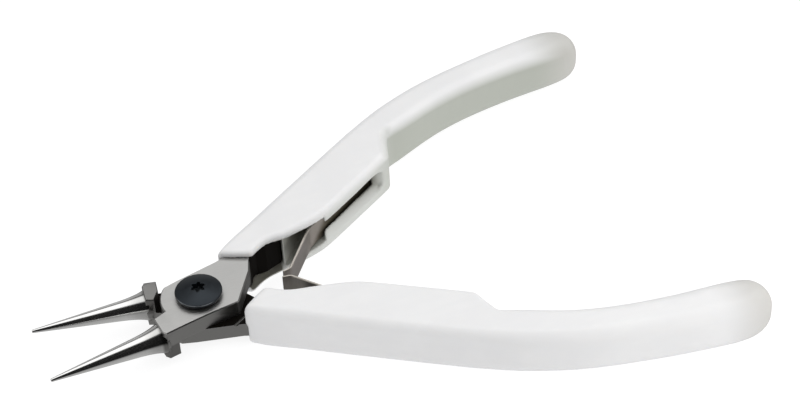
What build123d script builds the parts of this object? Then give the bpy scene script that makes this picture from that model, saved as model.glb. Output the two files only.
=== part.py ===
from build123d import *
import os
from math import cos, hypot, radians, sin

# Small round nose pliers with a screwed lap joint, two leaf return springs and slim moulded grips.
# Millimetres. Origin on the pivot axis, at mid thickness: the lap plane is z = 0.
# +X runs towards the handles, the jaws point to -X, +Z towards the screw head.
# The pose is the relaxed one: the leaf springs hold the handles open.
# The upper half has its handle at +Y and its jaw at -Y. The lower half, its grip and its rivet
# are the upper shapes turned 180 degrees about X, so outlines are given for the upper half only.

# ---------------------------------------------------------------- joint and jaw
joint_half = 3.0            # half the thickness of the lap joint
lap_gap = 0.02              # each lap face stands this far off the lap plane
edge_break = 0.18           # ground edge break on the steel

jaw_tip = (-27.91, -6.24)
jaw_run = (18.22, 1.76)     # direction from tip to base
jaw_length = 20.4           # axis length, ending inside the block
tip_r = 0.26
tip_blunt = 0.1             # the end face and the start of the taper lie this far off the tip
base_r = 1.63               # radius where the straight taper ends and the flare begins
flare_r = 2.74              # radius of the flare where it meets the block
flare_start = 14.2          # distances from the tip along the jaw axis
flare_end = 19.75

half_closed = 12.0          # each half has turned this far when the jaws are shut, degrees
flat_gap = 0.02             # from the flat on a jaw to the centre line when shut
flat_from, flat_to = -32, -7.6      # reach of the flat along that line
flat_cut = 4                # how far the cut reaches past that line

groove_start = (3.35, 7.05)         # relief groove across the lap face
groove_dir = (0.852, -0.523)
groove_r = 0.32
groove_length = 8.4

# ---------------------------------------------------------------- pivot screw
bore_r = 2.05               # running bore in the upper half
thread_r = 2.00             # threaded bore in the lower half, plain stand-in for the thread
bore_depth = 10             # more than the joint thickness
screw_r = 1.98
screw_end = -joint_half + 0.1
screw_chamfer = 0.35
head_r = 4.0
head_under = joint_half + 0.03
head_chamfer = 0.22         # on the lower rim of the head
head_rim = 4.12             # height that the rounded upper rim is placed from
head_top = 5.0              # crown of the dome
lobe_count = 6
lobe_outer_r = 1.25
lobe_pitch_r = 0.93
recess_core_r = 0.94
recess_depth = 1.15

# ---------------------------------------------------------------- springs and rivets
spring_thick = 0.5
spring_half_width = 2.25
spring_bend = 1.2           # radius of the bends on the centre line
# centre lines: tip, pad, bend, tail; the lower spring has taken a little more set
spring_path_upper = [(15.25, 0.30), (16.60, 0.62), (22.85, 8.72), (41.50, 22.38)]
spring_path_lower = [(14.65, -0.90), (16.10, -1.08), (22.75, -8.85), (41.50, -22.37)]
spring_anchor = (40.1, 21.35)       # centre of the rivet, on the spring
seat_normal = (-0.5878, 0.8090)     # direction from the spring into the steel

rivet_r = 0.70
rivet_head_r = 1.10
rivet_head_thick = 0.40
rivet_head_gap = 0.17       # from the spring's face to the underside of the head
rivet_depth = 3.0           # end of the full-radius shank, from the anchor
rivet_chamfer = 0.2
rivet_end = rivet_depth + rivet_chamfer
rivet_hole_gap = 0.02       # radial, in the steel
spring_hole_gap = 0.15      # radial, in the spring

# ---------------------------------------------------------------- grip
grip_half = 4.58            # half the thickness of a grip
cavity_gap = 0.03           # steel to plastic, each side
cavity_half = joint_half + cavity_gap
slot_half = 2.6             # half the height of the slot a spring lies in
bay_half = 2.9              # half the height of the open bay in front of that slot

# cross-sections from the mouth to the end:
# outer wall x, y, inner wall x, y, cut from the full thickness, corner radius
grip_sections = [
    (5.75, 6.85, 9.75, 4.10, 1.2, 0.50), (5.50, 7.50, 10.35, 3.95, 0, 0.80),
    (7.20, 9.00, 12.10, 4.72, 0, 1.20), (10.06, 10.99, 15.20, 5.80, 0, 1.30),
    (16.67, 15.40, 21.50, 7.78, 0, 1.30), (23.47, 19.78, 27.20, 10.05, 0, 1.30),
    (30.59, 24.41, 34.26, 14.55, 0, 1.30), (37.40, 28.75, 41.60, 19.20, 0, 1.30),
    (38.40, 29.35, 42.70, 20.40, 0, 1.40), (40.10, 30.40, 43.75, 23.30, 0, 1.50),
    (42.40, 31.80, 45.30, 24.85, 0, 1.70), (45.60, 33.60, 48.40, 26.45, 0, 2.00),
    (51.90, 36.40, 54.20, 29.00, 0, 2.30), (58.45, 38.40, 60.10, 30.90, 0, 2.50),
    (64.89, 39.85, 66.10, 32.25, 0, 2.50), (71.12, 40.85, 71.90, 33.15, 0, 2.50),
    (77.26, 41.55, 77.50, 33.70, 0, 2.70), (81.00, 41.75, 81.40, 33.90, 0, 3.00),
    (84.00, 41.60, 84.50, 34.10, 0, 3.40), (85.70, 41.20, 86.00, 34.50, 0.7, 3.10),
    (87.00, 40.25, 87.20, 35.45, 2.6, 2.30), (87.75, 39.15, 87.85, 36.55, 4.8, 1.25),
    (88.00, 38.30, 88.05, 37.40, 6.5, 0.42),
]

# outlines cut from the grip, x and y
window_outline = [(10.0, 2.5), (10.45, 4.4), (11.4, 6.2), (12.5, 7.0), (14.3, 7.1),
                  (17.55, 8.4), (17.55, 7.5), (18.0, 3.0)]
bay_outline = [(17.55, 7.5), (20.55, 10.5), (21.9, 11.6), (25.2, 13.45), (26.4, 13.6),
               (26.4, 6.0), (17.55, 2.0)]
slot_outline = [(25.9, 13.9), (39.4, 21.5), (41.2, 22.9), (42.3, 23.3), (42.5, 22.8),
                (41.75, 21.55), (41.6, 21.0), (40.0, 19.8), (39.2, 19.3), (41.2, 17.9),
                (44.0, 16.0), (26.4, 6.0)]

# ---------------------------------------------------------------- steel outline, x and y
# the tang is the part of the handle inside the grip; its outer edge faces away from y = 0
tang_outer = [(5.27, 6.79), (8.20, 7.95), (11.02, 9.59), (17.60, 13.98), (24.41, 18.28),
              (31.48, 22.96), (38.60, 27.48), (45.62, 31.73), (52.47, 34.76), (62.05, 37.53),
              (70.00, 38.95)]
tang_end = [(71.6, 37.6), (70.4, 35.4)]
tang_inner = [(62.60, 34.00), (53.70, 31.30), (48.40, 28.90), (44.60, 26.40), (42.00, 23.40),
              (40.74, 22.20), (39.40, 21.35), (26.30, 13.95), (24.90, 14.30), (19.80, 11.30),
              (17.20, 8.15), (14.30, 6.95), (12.40, 6.85), (11.30, 6.10)]
handle_step = [(10.55, 4.62), (6.05, 7.06)]     # where the full thickness begins
plate_pos_y = [(-4.94, 4.26), (-2.62, 4.94), tang_outer[0]]
plate_rear = [(10.40, 4.18), (9.69, 2.14), (5.65, -4.31)]
plate_neg_y = [(-0.17, -5.19), (-4.98, -6.16), (-5.78, -6.33)]
plate_front_mid = (-6.52, 1.35)                 # middle of the arc at the front of the plate
block_front = [(-7.77, -6.76), (-8.36, -6.05), (-8.78, -2.45), (-7.43, -1.87), (-6.52, -1.48)]
block_rear = [plate_neg_y[-1], (-6.10, -3.95), block_front[3]]
cavity_mouth = [plate_rear[1], (4.0, 4.0)]      # closes the grip cavity beyond the mouth


def profile_plane(x, y, run_x, run_y):
    """Upright plane: local x along the run, local y along +Z."""
    return Plane(origin=(x, y, 0), x_dir=(run_x, run_y, 0), z_dir=(run_y, -run_x, 0))


def facing_plane(x, y, normal_x, normal_y):
    """Upright plane that faces along a direction in XY."""
    return Plane(origin=(x, y, 0), x_dir=(0, 0, 1), z_dir=(normal_x, normal_y, 0))


def build_half_blank():
    """Forged steel half without its pivot hole."""
    with BuildPart() as blank:
        # lap plate and jaw block on the +Z side of the lap plane, ending inside the grip
        with BuildSketch(Plane.XY.offset(lap_gap)):
            with BuildLine():
                Polyline(*plate_pos_y, tang_outer[1], tang_inner[-1], *plate_rear,
                         *plate_neg_y, *block_front)
                ThreePointArc(block_front[-1], plate_front_mid, plate_pos_y[0])
            make_face()
        extrude(amount=joint_half - lap_gap)
        chamfer(blank.faces().sort_by(Axis.Z)[-1].edges(), length=edge_break)

        # jaw block below the lap plane, with a rear face that clears the other plate
        with BuildSketch(Plane.XY.offset(-joint_half)):
            with BuildLine():
                Polyline(*block_rear, *reversed(block_front[:3]), close=True)
            make_face()
        extrude(amount=joint_half + lap_gap)
        chamfer(blank.faces().sort_by(Axis.Z)[0].edges(), length=edge_break)

        # full-thickness handle, starting at the step just inside the grip
        with BuildSketch(Plane.XY.offset(-joint_half)):
            with BuildLine():
                Polyline(*handle_step, *tang_outer[1:], *tang_end, *tang_inner, close=True)
            make_face()
        extrude(amount=2 * joint_half)

        # round jaw: straight taper from a blunt tip, flaring where it meets the block
        with BuildSketch(profile_plane(*jaw_tip, *jaw_run)):
            with BuildLine():
                Line((-tip_blunt, 0), (-tip_blunt, tip_r - 0.12))
                ThreePointArc((-tip_blunt, tip_r - 0.12), (-0.05, tip_r - 0.03),
                              (tip_blunt, tip_r))
                Line((tip_blunt, tip_r), (flare_start, base_r))
                Spline((flare_start, base_r), (17.2, base_r + 0.37), (18.7, base_r + 0.71),
                       (flare_end, flare_r), tangents=[(1, 0.098), (0.82, 0.57)])
                Polyline((flare_end, flare_r), (jaw_length, flare_r), (jaw_length, 0),
                         (-tip_blunt, 0))
            make_face()
        revolve(axis=Axis((*jaw_tip, 0), (*jaw_run, 0)))

        # flat on the inner side of the flare, so that the two jaws shut without touching there
        shut_x, shut_y = cos(radians(half_closed)), sin(radians(half_closed))
        # distances along and across the centre line as it lies when the jaws are shut
        flat_corners = [(flat_from, -flat_gap), (flat_to, -flat_gap),
                        (flat_to, flat_cut), (flat_from, flat_cut)]
        with BuildSketch(Plane.XY.offset(-joint_half - 1)):
            with BuildLine():
                Polyline(*[(along * shut_x - across * shut_y, along * shut_y + across * shut_x)
                           for along, across in flat_corners], close=True)
            make_face()
        extrude(amount=2 * joint_half + 2, mode=Mode.SUBTRACT)

        # relief groove across the lap face in front of the step
        with BuildSketch(facing_plane(*groove_start, *groove_dir)):
            Circle(groove_r)
        extrude(amount=groove_length, mode=Mode.SUBTRACT)

        # blind hole in the spring seat for the rivet
        with BuildSketch(facing_plane(*spring_anchor, *seat_normal)):
            Circle(rivet_r + rivet_hole_gap)
        extrude(amount=spring_thick / 2 + rivet_end, mode=Mode.SUBTRACT)
    return blank.part


def build_grip_blank():
    """Moulded grip, upper orientation."""
    with BuildPart() as blank:
        # solid body, lofted through the sections
        for outer_x, outer_y, inner_x, inner_y, height_cut, corner in grip_sections:
            across = (outer_x - inner_x, outer_y - inner_y)
            middle = ((outer_x + inner_x) / 2, (outer_y + inner_y) / 2)
            with BuildSketch(profile_plane(*middle, *across)):
                RectangleRounded(hypot(*across), 2 * grip_half - height_cut, corner)
        loft(ruled=True)

        # cavity for the steel handle, open at the mouth
        with BuildSketch(Plane.XY.offset(-cavity_half)):
            with BuildLine():
                Polyline(*cavity_mouth, *tang_outer, *tang_end, *tang_inner, plate_rear[0],
                         close=True)
            make_face()
            offset(amount=cavity_gap, kind=Kind.INTERSECTION)
        extrude(amount=2 * cavity_half, mode=Mode.SUBTRACT)

        # window: the steel shows between two plastic lips behind the mouth
        # bay: the spring folds into it, with a thin web between it and the steel
        # slot: along the steel for the rear of the spring, closed round its tail and rivet
        for outline, half_height in ((window_outline, cavity_half), (bay_outline, bay_half),
                                     (slot_outline, slot_half)):
            with BuildSketch(Plane.XY.offset(-half_height)):
                with BuildLine():
                    Polyline(*outline, close=True)
                make_face()
            extrude(amount=2 * half_height, mode=Mode.SUBTRACT)
    return blank.part


def build_rivet_blank():
    """Rivet that holds a spring, upper orientation."""
    head_face = -(spring_thick / 2 + rivet_head_gap)
    head_end = head_face - rivet_head_thick
    normal_x, normal_y = seat_normal
    # local x runs from the head into the steel
    plane = Plane(origin=(*spring_anchor, 0), x_dir=(normal_x, normal_y, 0),
                  z_dir=(-normal_y, normal_x, 0))
    with BuildPart() as blank:
        with BuildSketch(plane):
            with BuildLine():
                Line((head_end, 0), (head_end, rivet_head_r * 0.55))
                ThreePointArc((head_end, rivet_head_r * 0.55),
                              (head_face - rivet_head_thick * 0.68, rivet_head_r * 0.86),
                              (head_face, rivet_head_r))
                Polyline((head_face, rivet_head_r), (head_face, rivet_r), (rivet_depth, rivet_r),
                         (rivet_end, rivet_r - rivet_chamfer), (rivet_end, 0), (head_end, 0))
            make_face()
        revolve(axis=Axis((*spring_anchor, 0), (*seat_normal, 0)))
    return blank.part


def build_leaf_spring(path, side):
    """Leaf spring along its centre line; side is 1 for the upper one, -1 for the lower."""
    normal_x, normal_y = seat_normal
    hole_start = (spring_anchor[0] - normal_x, side * (spring_anchor[1] - normal_y))
    with BuildPart() as spring:
        with BuildSketch(Plane.XY.offset(-spring_half_width)):
            with BuildLine():
                FilletPolyline(*path, radius=spring_bend)
                offset(amount=spring_thick / 2)
            make_face()
        extrude(amount=2 * spring_half_width)
        # clearance hole around the rivet, cut from 1 mm before the anchor to 1 mm past it
        with BuildSketch(facing_plane(*hole_start, normal_x, side * normal_y)):
            Circle(rivet_r + spring_hole_gap)
        extrude(amount=2, mode=Mode.SUBTRACT)
    return spring.part


def build_pivot_screw():
    """Plain shank and domed head with a six-lobed recess."""
    wall_top = (head_r, head_rim - 0.17)
    dome_edge = (head_r - 0.32, head_rim + 0.13)
    with BuildPart() as screw:
        with BuildSketch(Plane.XZ):
            with BuildLine():
                Polyline((0, screw_end), (screw_r - screw_chamfer, screw_end),
                         (screw_r, screw_end + screw_chamfer), (screw_r, head_under),
                         (head_r - head_chamfer, head_under),
                         (head_r, head_under + head_chamfer), wall_top)
                ThreePointArc(wall_top, (head_r - 0.09, head_rim + 0.02), dome_edge)
                ThreePointArc(dome_edge, (head_r * 0.5, head_top - 0.185), (0, head_top))
                Line((0, head_top), (0, screw_end))
            make_face()
        revolve(axis=Axis.Z)
        # drive recess
        with BuildSketch(Plane.XY.offset(head_top - recess_depth)):
            Circle(recess_core_r)
            with PolarLocations(lobe_pitch_r, lobe_count):
                Circle(lobe_outer_r - lobe_pitch_r)
        extrude(amount=recess_depth + 0.5, mode=Mode.SUBTRACT)
    return screw.part


def turned(blank, turn):
    """Copy of a blank, turned about X by an angle in degrees."""
    with BuildPart() as piece:
        add(blank, rotation=(turn, 0, 0))
    return piece.part


def bored_half(blank, turn, hole_r):
    """Forged half turned into place, with its pivot hole."""
    with BuildPart() as piece:
        add(blank, rotation=(turn, 0, 0))
        Hole(hole_r, depth=bore_depth)
    return piece.part


# ---------------------------------------------------------------- pieces and files
half_blank = build_half_blank()
grip_blank = build_grip_blank()
rivet_blank = build_rivet_blank()

pieces = {"pivot_screw": build_pivot_screw()}
# name, side in y, turn about X, radius of the pivot hole, spring centre line
for name, side, turn, hole_r, spring_path in (
    ("upper", 1, 0, bore_r, spring_path_upper),
    ("lower", -1, 180, thread_r, spring_path_lower),
):
    pieces[f"forged_half_{name}"] = bored_half(half_blank, turn, hole_r)
    pieces[f"grip_{name}"] = turned(grip_blank, turn)
    pieces[f"leaf_spring_{name}"] = build_leaf_spring(spring_path, side)
    pieces[f"spring_rivet_{name}"] = turned(rivet_blank, turn)

os.makedirs("parts", exist_ok=True)
for label, piece in pieces.items():
    piece.label = label
    export_step(piece, f"parts/{label}.step")
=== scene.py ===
"""Flush-jointed pliers with two fine tapered jaws, plastic grips and leaf springs.

The screw's axis is Z through the origin. The jaws point to -X, the handles open towards +X,
and the plates meet at z = 0. The upper half has its grip at +Y (far) and its jaw at -Y (near).
The lower half is the same shape turned over about X. Shapes are in millimetres unless noted;
shader distances, lights and camera are in metres.
"""
from contextlib import contextmanager
from math import atan2, cos, pi, radians, sin

import bpy
import bmesh
import numpy as np
from mathutils import Matrix, Vector


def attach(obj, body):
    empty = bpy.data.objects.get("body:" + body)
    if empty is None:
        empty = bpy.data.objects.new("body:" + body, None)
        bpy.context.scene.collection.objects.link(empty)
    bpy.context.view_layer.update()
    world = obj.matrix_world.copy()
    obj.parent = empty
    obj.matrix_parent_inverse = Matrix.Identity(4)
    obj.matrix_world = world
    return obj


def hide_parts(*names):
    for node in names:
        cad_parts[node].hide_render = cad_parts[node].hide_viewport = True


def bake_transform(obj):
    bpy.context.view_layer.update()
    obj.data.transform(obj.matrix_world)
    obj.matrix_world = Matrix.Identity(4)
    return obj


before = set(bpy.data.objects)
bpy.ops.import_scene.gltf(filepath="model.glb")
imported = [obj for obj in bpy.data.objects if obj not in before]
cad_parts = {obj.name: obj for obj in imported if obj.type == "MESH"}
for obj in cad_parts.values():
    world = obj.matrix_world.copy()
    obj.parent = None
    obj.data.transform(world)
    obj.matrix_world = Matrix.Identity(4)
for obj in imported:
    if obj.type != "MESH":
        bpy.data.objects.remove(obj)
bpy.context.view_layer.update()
MM = 0.001
HALF_HEIGHT = 4.58          # of a grip, from z = 0 to its top or bottom
scene = bpy.context.scene
scene.view_settings.view_transform = "Standard"
scene.view_settings.look = "None"
scene.view_settings.exposure = 0.0
scene.view_settings.gamma = 1.0


# ------------------------------------------------------------------ shader helpers
class Shader:
    """Short calls that add nodes to a tree. Every value may be a number or an output socket."""

    def __init__(self, tree):
        self.tree = tree
        tree.nodes.clear()

    def feed(self, socket, value):
        if hasattr(value, "is_output"):
            self.tree.links.new(value, socket)
        elif socket.type == "RGBA":
            socket.default_value = (*value, 1.0)
        else:
            socket.default_value = value

    def node(self, kind, inputs=None, **settings):
        node = self.tree.nodes.new(kind)
        for key, value in settings.items():
            setattr(node, key, value)
        for key, value in (inputs or {}).items():
            self.feed(node.inputs[key], value)
        return node

    def math(self, operation, *values):
        return self.node("ShaderNodeMath", dict(enumerate(values)), operation=operation).outputs[0]

    def plus(self, first, second):
        return self.math("ADD", first, second)

    def times(self, first, second):
        return self.math("MULTIPLY", first, second)

    def invert(self, value):
        return self.math("SUBTRACT", 1.0, value)

    def scaled(self, value, gain, base):
        """base + gain * value"""
        return self.plus(self.times(value, gain), base)

    def lowered(self, value, start, drop):
        """start - drop * value"""
        return self.math("SUBTRACT", start, self.times(value, drop))

    def fade(self, value, across, to=(0.0, 1.0)):
        """Smooth step between the two values of `to` while value crosses `across`."""
        inputs = {"Value": value, "From Min": across[0], "From Max": across[1],
                  "To Min": to[0], "To Max": to[1]}
        node = self.node("ShaderNodeMapRange", inputs, interpolation_type="SMOOTHSTEP", clamp=True)
        return node.outputs["Result"]

    def mix(self, mask, under, over, amount=None):
        """Lays the colour `over` on the colour `under`, where mask (times amount) is high."""
        if amount is not None:
            mask = self.times(mask, amount)
        return self.node("ShaderNodeMix", {0: mask, 6: under, 7: over},
                         data_type="RGBA").outputs[2]

    def noise(self, vector, scale, detail=3.0, roughness=0.55, turn=0.0):
        """Noise; a scale for each axis stretches the grain, turned about Z."""
        if isinstance(scale, tuple):
            mapping = {"Scale": scale, "Rotation": (0, 0, turn), "Vector": vector}
            vector = self.node("ShaderNodeMapping", mapping).outputs["Vector"]
            scale = 1.0
        inputs = {"Scale": scale, "Detail": detail, "Roughness": roughness, "Vector": vector}
        return self.node("ShaderNodeTexNoise", inputs).outputs["Fac"]

    def axes(self, vector):
        return self.node("ShaderNodeSeparateXYZ", {0: vector}).outputs

    def attribute(self, name):
        return self.node("ShaderNodeAttribute", attribute_name=name).outputs["Fac"]

    def coordinates(self):
        return self.node("ShaderNodeTexCoord").outputs

    def bump(self, height, strength, distance):
        inputs = {"Strength": strength, "Distance": distance, "Height": height}
        return self.node("ShaderNodeBump", inputs).outputs["Normal"]

    def finish(self, inputs):
        """Ends the tree in a Principled surface; inputs are keyed by socket name."""
        output = self.node("ShaderNodeOutputMaterial")
        surface = self.node("ShaderNodeBsdfPrincipled", {"Coat Roughness": 0.1, **inputs})
        self.feed(output.inputs[0], surface.outputs[0])


def new_material(name):
    material = bpy.data.materials.new(name)
    material.use_nodes = True
    return material, Shader(material.node_tree)


# ------------------------------------------------------------------ materials
def moulded_plastic(name):
    """Pale plastic; the vertex attributes `recess` and `inner` mark where shade is painted on the
    grips.
    """
    material, tree = new_material(name)
    place = tree.coordinates()["Object"]
    geometry = tree.node("ShaderNodeNewGeometry").outputs
    fine = tree.noise(place, scale=9000, detail=2.0)
    speck = tree.noise(place, scale=2600, detail=4.0)
    broad = tree.noise(place, scale=90)
    flow = tree.noise(place, scale=(60, 420, 420), turn=radians(-33))
    colour = tree.mix(tree.fade(broad, across=(0.35, 0.65)),
                      under=(0.800, 0.800, 0.806), over=(0.826, 0.826, 0.830))
    colour = tree.mix(tree.fade(flow, across=(0.42, 0.62), to=(0.0, 0.35)), colour,
                      over=(0.790, 0.792, 0.800))
    # handling leaves the raised edges a trace duller and warmer
    worn = tree.fade(geometry["Pointiness"], across=(0.52, 0.60), to=(0.0, 0.35))
    colour = tree.mix(worn, colour, over=(0.800, 0.795, 0.780))
    # painted shade: on the inner side, and in the recesses, darker the deeper they lie
    recess = tree.attribute("recess")
    # painted shade on the side facing the other handle, the housing's step and the end
    colour = tree.mix(tree.attribute("inner"), colour, over=(0.42, 0.44, 0.39), amount=0.92)
    # painted shade in the recesses
    colour = tree.mix(tree.fade(recess, across=(0.15, 1.4), to=(0.0, 0.55)), colour,
                      over=(0.42, 0.42, 0.37))
    colour = tree.mix(tree.fade(recess, across=(0.5, 2.0), to=(0.0, 0.95)), colour,
                      over=(0.100, 0.096, 0.074))
    # each grip is a touch darker towards its rounded end
    end_darkening = tree.fade(tree.axes(place)[0], across=(0.077, 0.087), to=(0.0, 0.85))
    colour = tree.mix(end_darkening, colour, over=(0.54, 0.53, 0.505))
    height = tree.scaled(fine, gain=0.35, base=speck)
    tree.finish({"Base Color": colour,
                 "Roughness": tree.scaled(speck, gain=0.14, base=0.33),
                 "Normal": tree.bump(height, strength=0.10, distance=0.00004),
                 "Specular IOR Level": 0.42,
                 "Subsurface Weight": 0.12,
                 "Subsurface Radius": (0.0011, 0.0010, 0.0009),
                 "Subsurface Scale": 1.0})
    return material


def painted_steel_shade(tree, x, z, normal_x, flat):
    """Mask of painted shade: on the lap faces, on the steel inside the grip and on a shaded wall.
    """
    lap = tree.fade(tree.math("ABSOLUTE", z), across=(0.0004, 0.0008), to=(1.0, 0.0))
    on_lap = tree.times(flat, lap)
    inside = tree.fade(x, across=(0.0100, 0.0106))
    flat_start = tree.times(flat, tree.fade(x, across=(0.0106, 0.0112), to=(1.0, 0.0)))
    in_grip = tree.times(inside, tree.invert(flat_start))
    painted_shade = tree.math("MAXIMUM", on_lap, in_grip)
    # the narrow wall between the screw and the window lies in deep shade
    shaded = tree.times(tree.fade(x, across=(0.0052, 0.0058)),
                        tree.fade(normal_x, across=(0.3, 0.6)))
    shade_amount = 0.70
    return tree.math("MAXIMUM", painted_shade, tree.times(shaded, shade_amount))


def ground_steel(name, side):
    """Satin ground faces, darker side walls, painted shade on the lap faces and in the grip, and
    painted edge highlights.
    """
    material, tree = new_material(name)
    coordinates = tree.coordinates()
    place = coordinates["Object"]
    geometry = tree.node("ShaderNodeNewGeometry").outputs
    x, _, z = tree.axes(place)
    normal = tree.axes(coordinates["Normal"])
    flat = tree.fade(tree.math("ABSOLUTE", normal[2]), across=(0.80, 0.97))
    # fine grinding: along the plate on the faces, upright on the side walls
    face_grain = tree.noise(place, (900, 9000, 2500), detail=4.0, roughness=0.6, turn=radians(22))
    wall_grain = tree.noise(place, (7000, 7000, 420), roughness=0.6)
    grain = tree.plus(tree.times(face_grain, flat), tree.times(wall_grain, tree.invert(flat)))
    cloud = tree.noise(place, scale=160)
    colour = tree.mix(grain, under=(0.47, 0.468, 0.457), over=(0.61, 0.608, 0.595))
    colour = tree.mix(tree.fade(cloud, across=(0.3, 0.7), to=(0.0, 0.4)), colour,
                      over=(0.59, 0.585, 0.57))
    # side walls read darker than the ground faces
    colour = tree.mix(tree.invert(flat), colour, over=(0.245, 0.241, 0.233), amount=0.80)
    # the jaw block beside the other plate has coarser, darker milled faces
    block = tree.times(tree.fade(x, across=(-0.0054, -0.0058)),
                       tree.fade(tree.times(z, float(-side)), across=(0.0, 0.0004)))
    colour = tree.mix(block, colour, over=(0.125, 0.12, 0.115), amount=0.62)
    # painted shade, near black, on the lap faces and the steel inside the grip
    painted_shade = painted_steel_shade(tree, x, z, normal[0], flat)
    colour = tree.mix(painted_shade, colour, over=(0.006, 0.005, 0.004))
    # painted highlight on the edges, found where a bevelled normal leaves the true one
    bevel = tree.node("ShaderNodeBevel", {"Radius": 0.00011}, samples=4)
    agreement = tree.node("ShaderNodeVectorMath", {0: bevel.outputs[0], 1: geometry["Normal"]},
                          operation="DOT_PRODUCT").outputs["Value"]
    edge = tree.fade(agreement, across=(0.985, 0.90), to=(0.0, 0.45))
    colour = tree.mix(tree.times(edge, tree.invert(painted_shade)), colour, over=(0.62, 0.62, 0.61))
    rough = tree.scaled(grain, gain=0.16, base=tree.fade(flat, across=(0, 1), to=(0.30, 0.34)))
    rough = tree.plus(rough, tree.times(painted_shade, 0.15))     # a little rougher where shade is painted
    tree.finish({"Base Color": colour,
                 "Roughness": rough,
                 "Metallic": tree.lowered(painted_shade, start=1.0, drop=0.85),
                 "Normal": tree.bump(grain, strength=0.22, distance=0.000012),
                 "Specular IOR Level": tree.lowered(painted_shade, start=0.5, drop=0.46)})
    return material


def polished_steel(name):
    """Mirror finish of the jaws, with marks round and along the taper."""
    material, tree = new_material(name)
    place = tree.coordinates()["Object"]
    rings = tree.noise(place, scale=(5200, 260, 260), roughness=0.6)
    along = tree.noise(place, scale=(120, 5200, 5200), detail=2.0, roughness=0.5)
    smear = tree.noise(place, scale=420)
    colour = tree.mix(rings, under=(0.74, 0.735, 0.725), over=(0.83, 0.83, 0.82))
    colour = tree.mix(tree.fade(smear, across=(0.35, 0.75), to=(0.0, 0.25)), colour,
                      over=(0.70, 0.69, 0.675))
    # painted shade: a duller ring on the flare towards the block, and a painted shadow line at its
    # foot
    x = tree.axes(place)[0]
    colour = tree.mix(tree.fade(x, across=(-0.0128, -0.0088), to=(0.0, 0.42)), colour,
                      over=(0.20, 0.196, 0.186))
    colour = tree.mix(tree.fade(x, across=(-0.0090, -0.0084), to=(0.0, 0.65)), colour,
                      over=(0.045, 0.042, 0.038))
    smear_gain, polish = 0.06, 0.075      # polish is the least roughness
    rough = tree.scaled(along, gain=0.07, base=tree.times(smear, smear_gain))
    marks = tree.plus(rings, along)
    tree.finish({"Base Color": colour,
                 "Roughness": tree.plus(rough, polish),
                 "Metallic": 1.0,
                 "Normal": tree.bump(marks, strength=0.10, distance=0.000006)})
    return material


def blued_spring(name):
    """Rolled strip with temper colours, painted shade and painted edge highlights; the springs
    differ by the sign of Y.
    """
    material, tree = new_material(name)
    coordinates = tree.coordinates()
    place = coordinates["Object"]
    normal_z = tree.axes(coordinates["Normal"])[2]
    strip_edge = tree.fade(tree.math("ABSOLUTE", normal_z), across=(0.55, 0.9))
    roll = tree.noise(place, scale=(5200, 5200, 300), detail=4.0, roughness=0.65)
    stain = tree.noise(place, scale=260, detail=4.0)
    colour = tree.mix(roll, under=(0.235, 0.205, 0.19), over=(0.36, 0.325, 0.305))
    colour = tree.mix(tree.fade(stain, across=(0.45, 0.7), to=(0.0, 0.5)), colour,
                      over=(0.20, 0.185, 0.15))
    x, y, z = tree.axes(place)
    # painted shade darkens the near strip, most beyond its pad; the far one is paler where it
    # enters the slot
    near = tree.fade(y, across=(0.0002, -0.0002))
    colour = tree.mix(near, colour, over=(0.17, 0.165, 0.145), amount=0.45)
    painted_shade = tree.times(near, tree.fade(x, across=(0.0172, 0.0186), to=(0.0, 0.72)))
    colour = tree.mix(painted_shade, colour, over=(0.040, 0.037, 0.033))
    pale = tree.times(tree.invert(near), tree.fade(x, across=(0.0215, 0.0240), to=(0.0, 0.45)))
    pale = tree.times(pale, tree.fade(x, across=(0.0275, 0.0262)))
    colour = tree.mix(pale, colour, over=(0.66, 0.60, 0.54))
    # painted shade on both strips inside the slot
    rear = tree.fade(x, across=(0.0262, 0.0280), to=(0.0, 0.75))
    colour = tree.mix(rear, colour, over=(0.085, 0.080, 0.055))
    # brown shade where the strip enters its slot, deeper towards the lower edge
    slant = tree.lowered(z, start=x, drop=0.9)
    colour = tree.mix(tree.fade(slant, across=(0.0243, 0.0268), to=(0.0, 0.80)), colour,
                      over=(0.115, 0.095, 0.060))
    # painted highlight on the strip's narrow edges
    colour = tree.mix(strip_edge, colour, over=(0.58, 0.545, 0.49))
    tree.finish({"Base Color": colour,
                 "Roughness": tree.scaled(roll, gain=0.22, base=0.27),
                 "Metallic": 0.92,
                 "Normal": tree.bump(roll, strength=0.25, distance=0.00001)})
    return material


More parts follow.
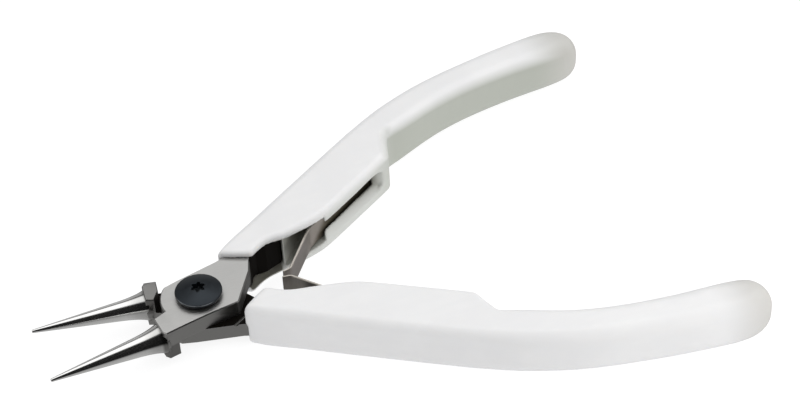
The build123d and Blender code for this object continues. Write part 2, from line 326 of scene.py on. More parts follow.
def black_oxide(name):
    """Turned black screw head, with a painted highlight on part of its rim."""
    material, tree = new_material(name)
    coordinates = tree.coordinates()
    place = coordinates["Object"]
    x, y, z = tree.axes(place)
    radius = tree.math("SQRT", tree.plus(tree.math("POWER", x, 2.0), tree.math("POWER", y, 2.0)))
    rings_per_metre = 9000.0
    turning = tree.node("ShaderNodeTexNoise", {"W": tree.times(radius, rings_per_metre),
                                               "Scale": 1.0, "Detail": 3.0},
                        noise_dimensions="1D").outputs["Fac"]
    cloud = tree.noise(place, scale=900, detail=4.0)
    # painted highlight: a lighter fan towards -Y, where turning marks would catch the light,
    # darker at the sides
    normal_y = tree.axes(coordinates["Normal"])[1]
    centre_guard = 0.0003       # keeps the division finite on the axis
    painted_fan_highlight = tree.math("DIVIDE", tree.times(y, -1.0), tree.plus(radius, centre_guard))
    painted_fan_highlight = tree.fade(painted_fan_highlight, across=(0.35, 0.98))
    colour = tree.mix(cloud, under=(0.007, 0.0095, 0.012), over=(0.020, 0.025, 0.030))
    colour = tree.mix(painted_fan_highlight, colour, over=(0.060, 0.070, 0.082), amount=0.32)
    # painted shade on the head's side wall below the rim
    painted_skirt_shade = tree.fade(z, across=(0.00392, 0.00384))
    colour = tree.mix(painted_skirt_shade, colour, over=(0.003, 0.0035, 0.004), amount=0.7)
    # painted highlight on the rim on the -Y side
    rim = tree.times(tree.fade(radius, across=(0.00390, 0.00398)),
                     tree.fade(z, across=(0.00396, 0.00404)))
    highlight_side = tree.times(tree.fade(normal_y, across=(0.05, -0.30)),
                         tree.fade(x, across=(0.0026, 0.0006)))
    patches = tree.fade(tree.noise(place, scale=500), across=(0.25, 0.55), to=(0.45, 1.0))
    worn = tree.times(tree.times(rim, highlight_side), patches)
    colour = tree.mix(worn, colour, over=(0.22, 0.235, 0.25), amount=0.65)
    height = tree.scaled(turning, gain=0.6, base=cloud)
    tree.finish({"Base Color": colour,
                 "Roughness": tree.scaled(cloud, gain=0.16, base=0.28),
                 "Metallic": tree.lowered(worn, start=0.6, drop=0.45),
                 "Normal": tree.bump(height, strength=0.12, distance=0.00001),
                 "Specular IOR Level": 0.28})
    return material


def plain_rivet(name):
    material, tree = new_material(name)
    grain = tree.noise(tree.coordinates()["Object"], scale=3000, detail=4.0)
    tree.finish({"Base Color": tree.mix(grain, under=(0.30, 0.29, 0.28), over=(0.50, 0.49, 0.47)),
                 "Roughness": tree.scaled(grain, gain=0.2, base=0.3),
                 "Metallic": 1.0,
                 "Normal": tree.bump(grain, strength=0.2, distance=0.00001)})
    return material


PLASTIC = moulded_plastic("grip_plastic_finish")
STEEL = {+1: ground_steel("ground_steel_finish_a", +1),
         -1: ground_steel("ground_steel_finish_b", -1)}
JAW = polished_steel("polished_jaw_finish")
SPRING = blued_spring("spring_steel_finish")
OXIDE = black_oxide("black_oxide_finish")
RIVET = plain_rivet("rivet_steel_finish")


# ------------------------------------------------------------------ mesh helpers
def mesh_object(name, verts, faces, material, smooth=True):
    """Object from vertices in millimetres."""
    mesh = bpy.data.meshes.new(name)
    points = np.asarray(verts, float) * MM
    mesh.from_pydata([tuple(point) for point in points], [], [tuple(face) for face in faces])
    mesh.validate()
    mesh.update()
    mesh.materials.append(material)
    if smooth:
        mesh.polygons.foreach_set("use_smooth", [True] * len(mesh.polygons))
    ob = bpy.data.objects.new(name, mesh)
    scene.collection.objects.link(ob)
    return ob


@contextmanager
def editing(mesh):
    """Opens a mesh as a BMesh and writes it back."""
    work = bmesh.new()
    work.from_mesh(mesh)
    yield work
    work.to_mesh(mesh)
    work.free()


def face_outward(ob, merge_distance=None):
    with editing(ob.data) as work:
        if merge_distance:
            bmesh.ops.remove_doubles(work, verts=work.verts, dist=merge_distance)
        bmesh.ops.recalc_face_normals(work, faces=work.faces)


def keep_largest(ob):
    """Drops all but the largest connected piece."""
    with editing(ob.data) as work:
        unseen, pieces = set(work.verts), []
        while unseen:
            piece, stack = [], [unseen.pop()]
            while stack:
                vert = stack.pop()
                piece.append(vert)
                for edge in vert.link_edges:
                    other = edge.other_vert(vert)
                    if other in unseen:
                        unseen.remove(other)
                        stack.append(other)
            pieces.append(piece)
        pieces.sort(key=len, reverse=True)
        for piece in pieces[1:]:
            bmesh.ops.delete(work, geom=piece, context="VERTS")


def loft_faces(ring_count, size, capped=True, reverse=False):
    """Quads between successive rings of `size` points, with optional end caps."""
    faces = []
    for start in range(0, (ring_count - 1) * size, size):
        for k in range(size):
            here, following = start + k, start + (k + 1) % size
            quad = (here, following, following + size, here + size)
            faces.append((quad[0], *quad[:0:-1]) if reverse else quad)
    if capped:
        faces.append(tuple(reversed(range(size))))
        faces.append(tuple(range((ring_count - 1) * size, ring_count * size)))
    return faces


def chaikin(points, rounds):
    """Corner cutting of a closed polygon."""
    points = np.array(points, float)
    for _ in range(rounds):
        after = np.roll(points, -1, axis=0)
        points = np.stack([0.75 * points + 0.25 * after, 0.25 * points + 0.75 * after], 1)
        points = points.reshape(-1, 2)
    return points


def polygon_distance(polygon, x, y):
    """Signed distance to a closed polygon, negative inside."""
    polygon = np.asarray(polygon, float)
    tiny = 1e-12
    nearest = np.full(x.shape, 1e9)
    inside = np.zeros(x.shape, bool)
    for (ax, ay), (bx, by) in zip(polygon, np.roll(polygon, -1, axis=0)):
        run, rise = bx - ax, by - ay
        length2 = run * run + rise * rise
        if length2 < tiny:
            continue
        t = np.clip(((x - ax) * run + (y - ay) * rise) / length2, 0, 1)
        np.minimum(nearest, (x - ax - t * run) ** 2 + (y - ay - t * rise) ** 2, out=nearest)
        crosses = (ay > y) != (by > y)
        crossing = ax + (y - ay) * run / (rise if abs(rise) > tiny else tiny)
        inside ^= crosses & (x < crossing)
    distance = np.sqrt(nearest)
    return np.where(inside, -distance, distance)


def line_distance(points, x, y):
    """Distance to an open line of points."""
    nearest = np.full(x.shape, 1e9)
    for (ax, ay), (bx, by) in zip(points[:-1], points[1:]):
        length2 = (bx - ax) ** 2 + (by - ay) ** 2
        t = np.clip(((x - ax) * (bx - ax) + (y - ay) * (by - ay)) / length2, 0, 1)
        nearest = np.minimum(nearest, np.hypot(x - ax - t * (bx - ax), y - ay - t * (by - ay)))
    return nearest


def surface_nets(field, origin, step):
    """Smooth closed surface where the grid crosses zero; inside is negative."""
    inside = field < 0
    size_x, size_y, size_z = field.shape
    corners = [(i, j, k) for i in (0, 1) for j in (0, 1) for k in (0, 1)]
    count = np.zeros((size_x - 1, size_y - 1, size_z - 1), np.uint8)
    for i, j, k in corners:
        count += inside[i:size_x - 1 + i, j:size_y - 1 + j, k:size_z - 1 + k]
    active = (count > 0) & (count < 8)
    cells = np.argwhere(active)
    ids = -np.ones(active.shape, np.int64)
    ids[active] = np.arange(len(cells))

    # one vertex per mixed cell, at the mean of the crossings on its edges
    total = np.zeros((len(cells), 3))
    hits = np.zeros(len(cells))
    for start in corners:
        for end in corners:
            if start < end and sum(abs(p - q) for p, q in zip(start, end)) == 1:
                first = field[tuple((cells + start).T)]
                last = field[tuple((cells + end).T)]
                mixed = (first < 0) != (last < 0)
                t = np.where(mixed, first / np.where(mixed, first - last, 1.0), 0.0)
                for axis in range(3):
                    place = start[axis] + (end[axis] - start[axis]) * t
                    total[:, axis] += np.where(mixed, place, 0.0)
                hits += mixed
    verts = (cells + total / hits[:, None]) * step + np.asarray(origin)

    # one quad round every grid edge that crosses the surface
    faces = []
    for axis in range(3):
        low, high = [slice(None)] * 3, [slice(None)] * 3
        low[axis], high[axis] = slice(0, -1), slice(1, None)
        first_inside = inside[tuple(low)]
        edges = np.argwhere(first_inside != inside[tuple(high)])
        side_a, side_b = (axis + 1) % 3, (axis + 2) % 3
        keep = np.ones(len(edges), bool)
        for side in (side_a, side_b):
            keep &= (edges[:, side] > 0) & (edges[:, side] < field.shape[side] - 1)
        edges = edges[keep]
        step_a, step_b = np.eye(3, dtype=int)[[side_a, side_b]]
        around = [edges - step_a - step_b, edges - step_b, edges, edges - step_a]
        quads = np.stack([ids[tuple(cell.T)] for cell in around], 1)
        flip = ~first_inside[tuple(edges.T)]
        quads[flip] = quads[flip][:, ::-1]
        faces.append(quads)
    return verts, np.concatenate(faces)


# ------------------------------------------------------------------ grips: outlines, (x, y)
# All are for the upper half; the lower grip is the same moulding turned over about X.
OUTER_WALL = [
    (5.55, 7.15), (5.90, 7.85), (7.60, 9.28), (10.06, 10.99), (16.67, 15.40), (23.47, 19.78),
    (30.59, 24.41), (37.40, 28.75), (42.40, 31.80), (45.60, 33.60), (51.90, 36.40), (58.45, 38.40),
    (64.89, 39.85), (71.12, 41.12), (77.26, 42.20), (81.00, 42.70), (83.60, 42.70), (85.95, 41.95),
    (87.60, 40.50), (88.32, 38.50)]
INNER_WALL = [
    (88.00, 36.35), (86.80, 34.65), (84.90, 33.70), (81.40, 33.25), (77.50, 33.12), (71.90, 32.85),
    (66.10, 32.12), (60.10, 30.90), (54.20, 29.05), (48.80, 26.85), (46.10, 25.85), (44.75, 25.40),
    (44.25, 25.05), (43.95, 24.30), (43.30, 22.50), (42.80, 20.70), (42.50, 19.85), (41.20, 18.95),
    (34.26, 14.55), (27.20, 10.05), (25.40, 9.15), (23.40, 8.45), (21.50, 7.95), (17.50, 7.00)]
# the inner wall runs on to the mouth differently below and above the plate
LOWER_LIP = [(16.00, 6.72), (14.40, 6.32), (13.00, 5.68), (11.80, 4.85), (10.95, 4.20),
             (9.95, 4.10)]
UPPER_LIP = [(17.45, 7.04), (14.87, 7.03), (12.76, 6.10), (11.5, 5.15)]
MOUTH = [(10.95, 5.02), (5.90, 7.35)]
HOUSING_STEP = [(42.5, 19.85), (42.8, 20.7), (43.3, 22.5), (43.95, 24.3), (44.75, 25.4)]

# the cavity for the steel handle: mouth, outer side, end, inner side, mouth
CAVITY = [
    (9.69, 2.14), (4.0, 2.5), (3.0, 5.5), (4.6, 6.60),
    (5.27, 6.79), (8.20, 7.95), (11.02, 9.59), (17.60, 13.98), (24.41, 18.28), (31.48, 22.96),
    (38.60, 27.48), (45.62, 31.73), (52.47, 34.76), (62.05, 37.53), (70.00, 38.95),
    (71.6, 37.6), (70.4, 35.4),
    (62.60, 34.00), (53.70, 31.30), (48.40, 28.90), (44.60, 26.40), (42.00, 23.40), (40.74, 22.20),
    (39.40, 21.35), (26.30, 13.95), (24.90, 14.30), (19.80, 11.30), (17.20, 8.15), (14.30, 6.95),
    (12.40, 6.85), (11.30, 6.10), (10.40, 4.18)]
WINDOW = [(10.0, 2.5), (10.40, 4.3), (11.1, 5.6), (12.2, 7.0), (14.3, 7.1), (17.50, 8.9),
          (17.62, 7.5), (17.9, 2.0)]
BAY = [(17.75, 7.6), (20.65, 10.5), (21.9, 11.6), (25.2, 13.45), (26.15, 13.6), (26.25, 9.0),
       (26.6, 4.0), (18.2, 1.5)]
TROUGH = [(25.6, 13.7), (33.0, 17.9), (38.2, 20.7), (38.45, 19.9), (39.6, 19.45), (40.9, 18.9),
          (41.2, 18.3), (43.0, 15.5), (26.6, 4.5), (25.6, 9.0)]
TAIL_POCKET = [(38.0, 20.6), (39.3, 21.5), (41.9, 23.0), (42.5, 22.8), (42.2, 22.2), (41.7, 21.3),
               (41.5, 21.1), (39.75, 19.95), (39.3, 20.05), (38.9, 20.1), (38.2, 19.7)]

# edge rounding at stations in x; the mouth has one radius above and one below
RADIUS_X = [5, 14, 22, 38, 44, 50, 56, 70, 80, 86]
OUTER_RADIUS = [1.5, 2.0, 1.9, 1.9, 2.2, 2.5, 2.6, 2.9, 3.4, 3.9]
INNER_RADIUS_BELOW = [0.9, 0.9, 0.85, 0.8, 0.85, 1.7, 2.3, 2.7, 3.4, 3.9]
INNER_RADIUS_ABOVE = [0.9, 0.9, 0.85, 0.8, 1.7, 2.0, 2.3, 2.7, 3.4, 3.9]
MOUTH_RADIUS_BELOW, MOUTH_RADIUS_ABOVE = 1.10, 0.40

# the sampling grid: x and y over the plan, LEVEL up through it
CELL = 0.30
GRID_X = np.arange(3.9, 89.6, CELL)
GRID_Y = np.arange(2.0, 43.4, CELL)
GRID_Z = np.arange(-HALF_HEIGHT - 3 * CELL / 2, HALF_HEIGHT + 2 * CELL, CELL)
PLAN_X, PLAN_Y = np.meshgrid(GRID_X, GRID_Y, indexing="ij")
LEVEL = GRID_Z[None, None, :]


# ------------------------------------------------------------------ grips: solid and cuts
def plan_polygon(outline):
    return polygon_distance(outline, PLAN_X, PLAN_Y)[:, :, None]


def plan_line(points):
    return line_distance(points, PLAN_X, PLAN_Y)[:, :, None]


def by_station(stations, values):
    return np.interp(PLAN_X, stations, values)[:, :, None]


def prism(outline, floor, ceiling):
    return np.maximum(plan_polygon(outline), np.maximum(LEVEL - ceiling, floor - LEVEL))


def subtract(body, hole, blend=0.0):
    """Takes hole out of body; blend softens the edge where they meet."""
    cut = np.maximum(body, -hole)
    if not blend:
        return cut
    near = np.maximum(blend - np.abs(body + hole), 0) / blend
    return cut + near * near * blend * 0.25


def uncut_grip():
    """The outside of the grip, and the plan distance to its side wall."""
    inner = INNER_WALL + LOWER_LIP
    below = plan_polygon(chaikin(OUTER_WALL + inner, 2))
    above = plan_polygon(chaikin([MOUTH[1]] + OUTER_WALL[1:] + INNER_WALL + UPPER_LIP
                                 + [MOUTH[0]], 1))
    change_height = 0.6         # the outlines blend over this height about z = 0
    share = np.clip(LEVEL / change_height + 0.5, 0, 1)
    wall = below * (1 - share) + above * share

    # each edge's radius counts more the nearer its wall is
    softening = 0.25
    weights = [1 / (plan_line(line) + softening) ** 2 for line in (OUTER_WALL, MOUTH, inner)]

    def radius(mouth_radius, inner_radius):
        radii = [by_station(RADIUS_X, OUTER_RADIUS), mouth_radius,
                 by_station(RADIUS_X, inner_radius)]
        return sum(weight * value for weight, value in zip(weights, radii)) / sum(weights)

    rounding = np.where(LEVEL > 0, radius(MOUTH_RADIUS_ABOVE, INNER_RADIUS_ABOVE),
                        radius(MOUTH_RADIUS_BELOW, INNER_RADIUS_BELOW))
    # the top dips slightly at the mouth
    dip_depth, dip_reach = 0.42, 3.5
    dip = dip_depth * np.clip(1 - plan_line(MOUTH) / dip_reach, 0, 1) ** 2
    cap = np.where(LEVEL > 0, LEVEL - HALF_HEIGHT + dip, -LEVEL - HALF_HEIGHT)
    side, end = wall + rounding, cap + rounding
    corner = np.hypot(np.maximum(side, 0), np.maximum(end, 0))
    return np.minimum(np.maximum(side, end), 0) + corner - rounding, wall


def trough_hole(depth):
    """Trough for the rear of the spring: tall at the back, coved floor, rounded end."""
    stations = [26.5, 30, 39]
    back = by_station(stations, [1.02, 1.33, 1.90])         # depth in from the side wall
    sill = by_station(stations, [-0.55, -0.80, -1.40])      # height of the floor's back
    ceiling = by_station([26.5, 34, 38], [1.62, 1.66, 1.85])
    floor, lowest = -2.62, -2.45
    slope, cove, cove_width = 0.75, 0.13, 0.5
    floor_height = floor + (sill - floor) * np.clip(depth / back, 0, 1.2)
    front, rear = (LEVEL - floor_height) * slope, depth - back
    near = np.maximum(1 - np.abs(front - rear) / cove_width, 0)
    sill_body = np.maximum(front, rear) + cove * near ** 2
    hole = np.maximum(prism(chaikin(TROUGH, 1), lowest, ceiling), -sill_body)
    # the end is a rounded scoop: its height shrinks towards +X
    scoop_x, scoop_z, scoop_radius, scoop_stretch = 38.4, -0.35, 2.15, 0.80
    past = np.maximum(PLAN_X[:, :, None] - scoop_x, 0) * scoop_stretch
    return np.maximum(hole, np.hypot(past, LEVEL - scoop_z) - scoop_radius)


def cut_grip(body, wall):
    depth = -wall                       # distance in from the side wall
    body = subtract(body, prism(CAVITY, -3.05, 3.05))
    # the window's lower lip thins to an edge, so its floor slopes out
    floor = np.interp(depth, [-0.2, 0.25, 2.2], [-4.15, -3.98, -3.05])
    mouth_rise = by_station([10.2, 11.2, 12.4, 13.6, 14.6], [2.2, 1.9, 1.05, 0.25, 0.0])
    rise_depth = 1.6
    floor = floor + mouth_rise * np.clip(depth / rise_depth, 0, 1)
    body = subtract(body, prism(WINDOW, floor, ceiling=3.03), blend=0.30)
    bay_floor = by_station([17.5, 19.5, 22, 26], [-3.7, -3.3, -2.95, -2.80])
    body = subtract(body, prism(BAY, bay_floor, ceiling=2.9), blend=0.35)
    body = subtract(body, trough_hole(depth), blend=0.50)
    # closed pocket round the tail of the spring and its rivet
    return subtract(body, prism(TAIL_POCKET, floor=-2.4, ceiling=2.4))


# ------------------------------------------------------------------ grips: shading masks
def grid_sampler(verts):
    """Returns a function that reads a grid at the vertices, trilinearly."""
    shape = np.array([len(GRID_X), len(GRID_Y), len(GRID_Z)])
    place = np.clip((verts - [GRID_X[0], GRID_Y[0], GRID_Z[0]]) / CELL, 0, shape - 1.001)
    cell = place.astype(int)
    part = place - cell

    def sample(grid):
        total = 0
        for corner in np.ndindex(2, 2, 2):
            weight = np.where(corner, part, 1 - part).prod(axis=1)
            total = total + weight * grid[tuple((cell + corner).T)]
        return total

    return sample


def over_width(distance, width):
    """Rises from 0 to 1 as distance grows from 0 to width."""
    return np.clip(distance / width, 0, 1)


def recess_depth(x, z, recess):
    """Depth under the uncut outside, adjusted inside each opening to set the painted shade there.
    """
    window = over_width(17.4 - x, 0.5) * over_width(x - 9.8, 0.5) * over_width(3.3 - z, 0.3)
    window *= over_width(recess - 0.05, 0.25)
    least = np.interp(x, [10, 13, 17], [3.9, 3.3, 2.2])
    recess = recess * (1 - window) + np.maximum(recess, least) * window
    bay = over_width(x - 17.6, 0.3) * over_width(26.4 - x, 0.5) * over_width(3.0 - z, 0.4)
    base, gain = 0.95, 0.27             # recess in the bay, once under its edge
    recess = recess * (1 - bay) + bay * over_width(recess, 0.3) * (base + gain * recess)
    trough = over_width(x - 26.4, 0.6) * over_width(42.5 - x, 0.5)
    trough_relief = 0.25
    return recess * (1 - trough_relief * trough)


def inner_shade(x, y, z, sample):
    """Mask of painted shade on the side that faces the other handle, the housing's step and the
    end.
    """
    beyond_outer = OUTER_WALL + [(88.6, 38.0), (89, 0), (0, 0), (4.0, 6.0)]
    from_outer = sample(np.broadcast_to(np.abs(plan_polygon(beyond_outer)),
                                        PLAN_X.shape + GRID_Z.shape))
    inner = over_width(from_outer - 2.2, 2.2) * over_width(HALF_HEIGHT - 0.35 - z, 1.6)
    # fades in behind the mouth and out at the end
    inner *= over_width(x - 9.0, 6.0) * over_width(88.5 - x, 4.0)
    inner *= np.interp(x, [38, 46, 78, 86.5], [0.56, 1.0, 1.0, 0.95])
    # the step at the rear of the housing turns away from the light too
    step_amount, step_reach = 0.5, 1.5
    near_step = np.clip(1.15 - line_distance(HOUSING_STEP, x, y) / step_reach, 0, 1)
    inner = np.maximum(inner, step_amount * near_step)
    end_amount = 0.95
    end = end_amount * over_width(x - 76, 9) * over_width(HALF_HEIGHT + 1.6 - z, 3.4)
    return np.maximum(inner, end)


def grip_shape():
    """Vertices, faces and the two shading masks of the upper grip."""
    solid, wall = uncut_grip()
    origin = (GRID_X[0], GRID_Y[0], GRID_Z[0])
    verts, faces = surface_nets(cut_grip(solid, wall), origin, CELL)
    sample = grid_sampler(verts)
    x, y, z = verts.T
    recess = recess_depth(x, z, np.maximum(-sample(solid), 0))
    return verts, faces, recess, inner_shade(x, y, z, sample)


def add_grip(name, part, side, body, shape):
    verts, faces, recess, inner = shape
    if side < 0:
        verts = verts * np.array([1, -1, -1])
        inner = np.zeros(len(verts))    # only the far grip gets painted shade on its inner side
    ob = mesh_object(name, verts, faces, PLASTIC)
    for key, values in (("recess", recess), ("inner", inner)):
        attribute = ob.data.attributes.new(key, "FLOAT", "POINT")
        attribute.data.foreach_set("value", values.astype(np.float32))
    keep_largest(ob)
    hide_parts(part)
    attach(ob, body)


# ------------------------------------------------------------------ jaws: fine tapered rounds
TIP = (-27.91, -6.24)               # x, y of the upper half's jaw tip
JAW_ANGLE = atan2(1.76, 18.22)      # of the jaw's axis to X
TIP_RADIUS, BASE_RADIUS, FLARE_RADIUS = 0.31, 1.64, 2.76
TAPER_START, TAPER_END, FLARE_END = 0.1, 14.2, 19.75       # along the axis from the tip
SHUT_ANGLE = radians(12.0)          # turn of a half that brings its flat to the centre plane
FLAT_GAP = 0.025
JAW_SEGMENTS = 96


def hermite(p0, m0, p1, m1, t):
    """Cubic from p0 to p1 with end slopes m0 and m1."""
    t2, t3 = t * t, t * t * t
    return ((2 * t3 - 3 * t2 + 1) * p0 + (t3 - 2 * t2 + t) * m0
            + (-2 * t3 + 3 * t2) * p1 + (t3 - t2) * m1)


def jaw_profile():
    """Rows of (distance from the tip, radius): rounded tip, taper, flare, closing rim."""
    rows = [(-0.10, 0.0), (-0.10, TIP_RADIUS * 0.3), (-0.098, TIP_RADIUS * 0.55),
            (-0.07, TIP_RADIUS * 0.82), (0.0, TIP_RADIUS * 0.95), (TAPER_START, TIP_RADIUS)]
    for s in np.linspace(0.5, TAPER_END, 40):
        share = (s - TAPER_START) / (TAPER_END - TAPER_START)
        rows.append((s, TIP_RADIUS + (BASE_RADIUS - TIP_RADIUS) * share))
    # distance, radius, slope
    knots = [(TAPER_END, BASE_RADIUS, 0.098), (17.2, BASE_RADIUS + 0.37, 0.18),
             (18.7, BASE_RADIUS + 0.71, 0.30), (FLARE_END, FLARE_RADIUS, 0.55)]
    for (s0, r0, slope0), (s1, r1, slope1) in zip(knots[:-1], knots[1:]):
        length = s1 - s0
        for t in np.linspace(0, 1, 9)[1:]:
            rows.append((s0 + length * t, hermite(r0, slope0 * length, r1, slope1 * length, t)))
    return np.array(rows + [(19.92, FLARE_RADIUS + 0.005), (19.97, FLARE_RADIUS * 0.7)])


JAW_PROFILE = jaw_profile()


def jaw_axis(side):
    """Tip and direction of a jaw."""
    return (np.array([TIP[0], TIP[1] * side, 0.0]),
            np.array([cos(JAW_ANGLE), sin(JAW_ANGLE) * side, 0.0]))


def add_jaw(name, side, body):
    tip, axis = jaw_axis(+1)
    across = np.array([-sin(JAW_ANGLE), cos(JAW_ANGLE), 0.0])
    up = np.array([0.0, 0.0, 1.0])
    to_centre = np.array([-sin(SHUT_ANGLE), cos(SHUT_ANGLE), 0.0])
    turn = 2 * pi * np.arange(JAW_SEGMENTS)[:, None] / JAW_SEGMENTS
    rim = across * np.cos(turn) + up * np.sin(turn)
    distance, radius = JAW_PROFILE.T[:, :, None, None]
    verts = tip + axis * distance + rim * np.maximum(radius, 1e-4)
    # press what passes the centre plane onto a flat
    over = np.maximum(verts @ to_centre + FLAT_GAP, 0)
    verts = (verts - to_centre * over[..., None]).reshape(-1, 3)
    if side < 0:
        verts = verts * np.array([1, -1, -1])
    ob = mesh_object(name, verts, loft_faces(len(JAW_PROFILE), JAW_SEGMENTS), JAW)
    face_outward(ob)
    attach(ob, body)


def add_steel_half(name, part, side, body):
    """The forged half without its coarse jaw surface; the fine jaw takes that place."""
    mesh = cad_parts[part].data.copy()
    mesh.name = name
    ob = bpy.data.objects.new(name, mesh)
    scene.collection.objects.link(ob)
    tip, axis = jaw_axis(side)
    distances, radii = JAW_PROFILE.T
    jaw_end, margin = 19.77, 0.06

    def on_jaw(vert):
        offset = np.array(vert.co) * 1000 - tip
        along = offset @ axis
        radius = np.linalg.norm(offset - axis * along)
        return along <= jaw_end and radius <= np.interp(along, distances, radii) + margin

    with editing(mesh) as work:
        bmesh.ops.remove_doubles(work, verts=work.verts, dist=1e-7)
        gone = [face for face in work.faces if all(on_jaw(vert) for vert in face.verts)]
        bmesh.ops.delete(work, geom=gone, context="FACES")
        loose = [vert for vert in work.verts if not vert.link_faces]
        bmesh.ops.delete(work, geom=loose, context="VERTS")
    mesh.materials.clear()
    mesh.materials.append(STEEL[side])
    mesh.polygons.foreach_set("material_index", [0] * len(mesh.polygons))
    mesh.polygons.foreach_set("use_smooth", [True] * len(mesh.polygons))
    mesh.set_sharp_from_angle(angle=radians(20))
    mesh.update()
    weighted = ob.modifiers.new("face_weighted_normals", "WEIGHTED_NORMAL")
    weighted.keep_sharp = True
    weighted.weight = 100
    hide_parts(part)
    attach(ob, body)


# ------------------------------------------------------------------ screw
SCREW_SEGMENTS = 144
HEAD_RADIUS, RIM_Z, HEAD_TOP = 4.06, 4.08, 4.95
DOME_RADIUS = HEAD_RADIUS - 0.32
SHANK_RADIUS, HEAD_UNDERSIDE = 1.98, 3.03
SCREW_END = -2.90
SOCKET_TURN = radians(8)


def dome(radius):
    return HEAD_TOP - (HEAD_TOP - RIM_Z - 0.13) * (radius / DOME_RADIUS) ** 2


def add_screw(name, part, body):
    """Domed head with a six-lobed socket, and a plain shank."""
    turn = 2 * pi * np.arange(SCREW_SEGMENTS) / SCREW_SEGMENTS
    socket = 0.80 + 0.45 * (0.5 + 0.5 * np.cos(6 * turn)) ** 0.8
    lip = socket * 1.045
    # rings of (radius, z), from the socket's floor over the head to the end of the shank
    rings = [(0.001, 3.83), (socket * 0.55, 3.86), (socket * 0.93, 3.88), (socket * 0.985, 3.98),
             (socket, 4.2), (socket, 4.5), (socket, 4.75),
             (socket * 1.01, dome(socket) - 0.035), (lip, dome(lip))]
    for t in np.linspace(0.08, 1, 16):
        radius = lip * (1 - t) + DOME_RADIUS * t
        rings.append((radius, dome(radius)))
    rings += [(3.86, RIM_Z + 0.085), (3.97, RIM_Z + 0.02), (4.035, RIM_Z - 0.07),
              (HEAD_RADIUS, RIM_Z - 0.17), (4.05, 3.80), (3.98, 3.60), (3.86, 3.38), (3.70, 3.18),
              (3.50, HEAD_UNDERSIDE), (SHANK_RADIUS, HEAD_UNDERSIDE), (SHANK_RADIUS, 0.0),
              (SHANK_RADIUS, -2.55), (1.90, -2.68), (1.66, SCREW_END), (0.001, SCREW_END)]
    angle = turn + SOCKET_TURN
    verts = np.concatenate([
        np.stack(np.broadcast_arrays(radius * np.cos(angle), radius * np.sin(angle), z), 1)
        for radius, z in rings])
    faces = loft_faces(len(rings), SCREW_SEGMENTS, capped=False, reverse=True)
    ob = mesh_object(name, verts, faces, OXIDE)
    face_outward(ob, merge_distance=3e-6)       # closes the two central rings
    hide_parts(part)
    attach(ob, body)


# ------------------------------------------------------------------ leaf springs
STRIP_THICKNESS, STRIP_HALF_WIDTH, STRIP_EDGE = 0.46, 2.25, 0.11
BEND_RADIUS, STRIP_STEP = 1.2, 0.25


def fillet_path(path, radius, step):
    """Rounds the corners of a line of points and fills it in at about one step apart."""
    path = np.array(path, float)
    points = [path[0]]
    for before, corner, after in zip(path[:-2], path[1:-1], path[2:]):
        back = (before - corner) / np.linalg.norm(before - corner)
        ahead = (after - corner) / np.linalg.norm(after - corner)
        angle = np.arccos(np.clip(back @ ahead, -1, 1))
        inset = radius / np.tan(angle / 2)
        middle = (back + ahead) / np.linalg.norm(back + ahead)
        centre = corner + middle * radius / np.sin(angle / 2)
        start, end = corner + back * inset - centre, corner + ahead * inset - centre
        start_angle = atan2(start[1], start[0])
        sweep = (atan2(end[1], end[0]) - start_angle + pi) % (2 * pi) - pi
        for k in range(13):
            turn = start_angle + sweep * k / 12
            points.append(centre + radius * np.array([cos(turn), sin(turn)]))
    points = np.array(points + [path[-1]])
    run = np.r_[0, np.cumsum(np.hypot(*np.diff(points, axis=0).T))]
    filled = [points[0]]
    for i in range(len(points) - 1):
        count = max(1, int(round((run[i + 1] - run[i]) / step)))
        for k in range(1, count + 1):
            filled.append(points[i] + (points[i + 1] - points[i]) * k / count)
    return np.array(filled)


def add_spring(name, part, path, side):
    points = fillet_path(path, BEND_RADIUS, STRIP_STEP)
    tangent = np.gradient(points, axis=0)
    tangent /= np.linalg.norm(tangent, axis=1)[:, None]
    normals = np.stack([-tangent[:, 1], tangent[:, 0]], 1)
    # half the section with its broken edges, (across thickness, z); the rest is its opposite
    thick, wide, edge = STRIP_THICKNESS / 2, STRIP_HALF_WIDTH, STRIP_EDGE
    section = [(-thick, -wide + edge), (-thick + edge, -wide), (thick - edge, -wide),
               (thick, -wide + edge), (thick, -wide / 2), (thick, 0), (thick, wide / 2)]
    section += [(-offset, -z) for offset, z in section]
    verts = []
    for point, normal in zip(points, normals):
        for offset, z in section:
            x, y = point + normal * offset
            verts.append((x, y * side, z))
    ob = mesh_object(name, verts, loft_faces(len(points), len(section)), SPRING, smooth=False)
    face_outward(ob)
    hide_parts(part)
    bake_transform(ob)


# (x, y) from the pad between the handles to the tail in the grip; the lower one is mirrored in y
UPPER_SPRING_PATH = [(15.25, 0.30), (16.60, 0.62), (22.85, 8.72), (41.50, 22.38)]
LOWER_SPRING_PATH = [(14.65, 0.90), (16.10, 1.08), (22.75, 8.85), (41.50, 22.37)]


# ------------------------------------------------------------------ build the object
grip = grip_shape()
add_grip("far_grip", "grip_upper", +1, "upper_half", grip)
add_grip("near_grip", "grip_lower", -1, "lower_half", grip)
add_steel_half("upper_forging", "forged_half_upper", +1, "upper_half")
add_steel_half("lower_forging", "forged_half_lower", -1, "lower_half")
add_jaw("near_jaw", +1, "upper_half")
add_jaw("far_jaw", -1, "lower_half")
add_screw("joint_screw", "pivot_screw", "lower_half")
add_spring("far_spring", "leaf_spring_upper", UPPER_SPRING_PATH, +1)
add_spring("near_spring", "leaf_spring_lower", LOWER_SPRING_PATH, -1)
for rivet in ("spring_rivet_upper", "spring_rivet_lower"):
    rivet_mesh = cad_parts[rivet].data
    rivet_mesh.materials.clear()
    rivet_mesh.materials.append(RIVET)


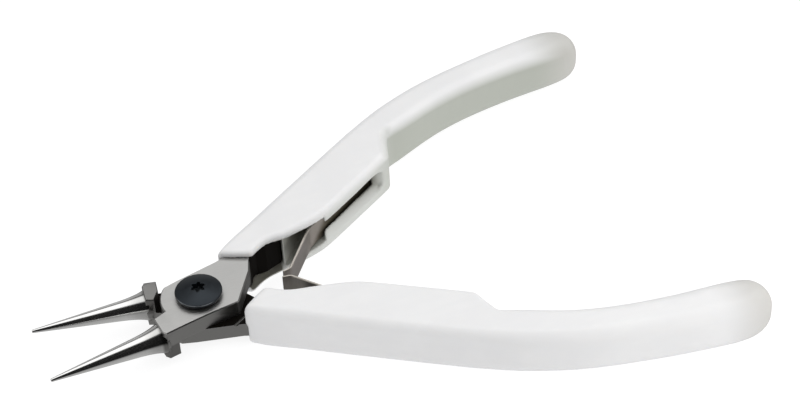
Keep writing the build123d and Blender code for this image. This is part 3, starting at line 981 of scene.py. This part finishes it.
# ------------------------------------------------------------------ stage (metres)
def add_floor():
    """Pale light table just under the grips; most of its brightness is its own."""
    half_size, z = 3.0, (-HALF_HEIGHT - 0.02) * MM
    mesh = bpy.data.meshes.new("studio_floor")
    corners = [(-1, -1), (1, -1), (1, 1), (-1, 1)]
    mesh.from_pydata([(x * half_size, y * half_size, z) for x, y in corners], [], [(0, 1, 2, 3)])
    material, tree = new_material("floor_paper")
    paper = tree.noise(tree.coordinates()["Object"], scale=60)
    colour = tree.mix(paper, under=(0.955, 0.955, 0.957), over=(0.970, 0.970, 0.972))
    tree.finish({"Base Color": tree.mix(0.72, colour, over=(0.0, 0.0, 0.0)),
                 "Roughness": 0.9,
                 "Specular IOR Level": 0.0,
                 "Emission Color": colour,
                 "Emission Strength": 0.87})
    mesh.materials.append(material)
    ob = bpy.data.objects.new("studio_floor", mesh)
    scene.collection.objects.link(ob)
    ob.visible_glossy = False


# (degrees, brightness) of reflections in the Y-Z plane:
# 0 is the +Y horizon, 90 overhead, 180 the -Y horizon, 270 straight down
REFLECTION_BANDS = [
    (0, 0.55), (22, 0.50), (28, 0.42), (31, 0.14), (40, 0.16), (45, 1.25), (60, 1.45), (92, 1.30),
    (99, 0.20), (106, 0.012), (186, 0.010), (194, 0.22), (206, 0.42), (270, 0.52), (300, 0.42),
    (322, 0.20), (345, 0.40), (360, 0.55)]


def add_world():
    """Soft white light, with bands that only reflections see."""
    world = bpy.data.worlds.new("studio")
    scene.world = world
    world.use_nodes = True
    tree = Shader(world.node_tree)
    output = tree.node("ShaderNodeOutputWorld")
    x, y, z = tree.axes(tree.coordinates()["Generated"])
    angle = tree.times(tree.math("ARCTAN2", z, y), 180 / pi)
    angle = tree.math("MODULO", tree.plus(angle, 360.0), 360.0)
    ramp = tree.node("ShaderNodeValToRGB", {0: tree.math("DIVIDE", angle, 360.0)})
    ramp.color_ramp.interpolation = "LINEAR"
    stops = ramp.color_ramp.elements        # starts with a stop at each end
    for stop, (_, grey) in zip(stops, (REFLECTION_BANDS[0], REFLECTION_BANDS[-1])):
        stop.color = (grey, grey, grey, 1)
    for degree, grey in REFLECTION_BANDS[1:-1]:
        stops.new(degree / 360).color = (grey, grey, grey, 1)
    bands = tree.node("ShaderNodeBackground", {0: ramp.outputs[0], 1: 1.0})
    upward = tree.fade(z, across=(-0.2, 0.9), to=(0.42, 1.0))
    sideways = tree.scaled(x, gain=0.38, base=1.0)      # brighter towards +X
    soft_strength = 0.80
    strength = tree.times(tree.times(upward, sideways), soft_strength)
    soft = tree.node("ShaderNodeBackground", {0: (1.0, 1.0, 1.0), 1: strength})
    glossy = tree.node("ShaderNodeLightPath").outputs["Is Glossy Ray"]
    mixed = tree.node("ShaderNodeMixShader", {0: glossy, 1: soft.outputs[0], 2: bands.outputs[0]})
    tree.feed(output.inputs[0], mixed.outputs[0])


def add_softbox(name, place, target, size, power, tint=(1.0, 1.0, 1.0)):
    light = bpy.data.lights.new(name, "AREA")
    light.shape = "RECTANGLE"
    light.size, light.size_y = size
    light.energy = power
    light.color = tint
    ob = bpy.data.objects.new(name, light)
    scene.collection.objects.link(ob)
    ob.location = place
    ob.rotation_mode = "QUATERNION"
    ob.rotation_quaternion = (Vector(target) - Vector(place)).to_track_quat("-Z", "Y")
    ob.visible_glossy = False


def add_camera():
    """Looks down along +Y from the -Y side."""
    right = (0.92708307, -0.37258124, -0.04123362)
    up = (0.27593552, 0.60384090, 0.74782067)
    backward = (-0.25372540, -0.70466970, 0.66261907)
    place = (-0.05514185, -0.25602498, 0.25018325)
    data = bpy.data.cameras.new("camera")
    camera = bpy.data.objects.new("camera", data)
    scene.collection.objects.link(camera)
    columns = Matrix(((*right, 0), (*up, 0), (*backward, 0), (*place, 1)))
    camera.matrix_world = columns.transposed()
    data.sensor_fit = "HORIZONTAL"
    data.sensor_width = 36.0
    data.lens = 95.10966
    data.clip_start, data.clip_end = 0.01, 10.0
    scene.camera = camera


add_floor()
add_world()
add_softbox("overhead_softbox", place=(0.0, 0.10, 0.55), target=(0.03, 0.0, 0.0),
            size=(0.9, 0.7), power=1.16)
add_softbox("right_front_softbox", place=(0.19, -0.16, 0.10), target=(0.075, -0.030, 0.0),
            size=(0.12, 0.10), power=0.14, tint=(1.0, 0.985, 0.96))
add_camera()
